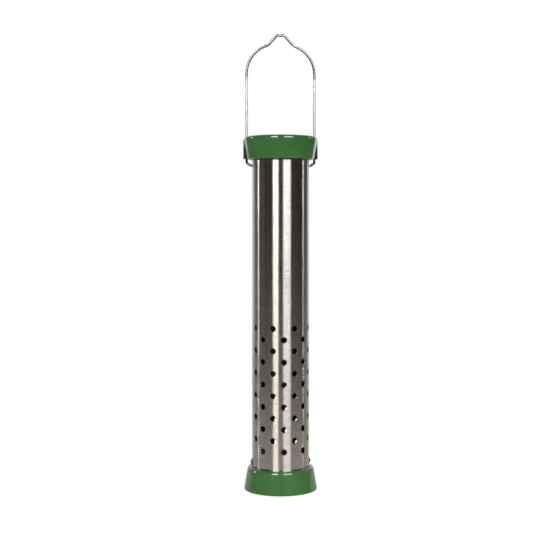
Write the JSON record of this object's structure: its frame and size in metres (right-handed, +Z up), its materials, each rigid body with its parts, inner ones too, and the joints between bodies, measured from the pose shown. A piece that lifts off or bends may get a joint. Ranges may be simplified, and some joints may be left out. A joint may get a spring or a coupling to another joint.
{
  "type": "hanging bird feeder",
  "caption": "Hanging tube bird feeder: perforated steel seed tube on a wire bail, with a sliding cast rain cap and a cast base held by pinch catches.",
  "frame": {"origin": "centre of the foot of the base, on the axis of the tube, at the lowest point", "axes": "+Z up along the tube, X through the two legs of the bail and the two catches, -Y towards the front"},
  "size_m": [0.0832, 0.0818, 0.507],
  "materials": {
    "wire": "bright drawn stainless wire",
    "green_coat": "gloss dark green coating on a casting",
    "steel": "stainless tube with fine brushing round it",
    "green_plastic": "moulded very dark green plastic",
    "spring_steel": "oil-tempered spring wire",
    "screw_steel": "plain stainless screws"
  },
  "bodies": {
    "bail": {"bail": "wire"},
    "cap": {"cap": "green_coat"},
    "tube": {"seed_tube": "steel"},
    "base": {"base_cup": "green_coat", "seed_cone": "green_plastic", "spring_bridge": "spring_steel", "base_screws": "screw_steel"},
    "catch_left": {"catch_arm_left": "spring_steel"},
    "catch_right": {"catch_arm_right": "spring_steel"}
  },
  "joints": [
    {"name": "cap_lift", "type": "slide", "parent": "bail", "child": "cap", "axis": [0, 0, 1], "range_m": [0, 0.068]},
    {"name": "tube_tip", "type": "hinge", "parent": "bail", "child": "tube", "pos_m": [0, 0, 0.362], "axis": [1, 0, 0], "range_deg": [-1.8, 1.8]},
    {"name": "base_release", "type": "slide", "parent": "tube", "child": "base", "axis": [0, 0, -1], "range_m": [0, 0.036], "deforming": ["catch_arm_left", "catch_arm_right"]},
    {"name": "catch_left_press", "type": "hinge", "parent": "base", "child": "catch_left", "pos_m": [-0.0299, 0, 0.0088], "axis": [0, 1, 0], "range_deg": [0, 8.5]},
    {"name": "catch_right_press", "type": "hinge", "parent": "base", "child": "catch_right", "pos_m": [0.0299, 0, 0.0088], "axis": [0, -1, 0], "range_deg": [0, 8.5]}
  ]
}
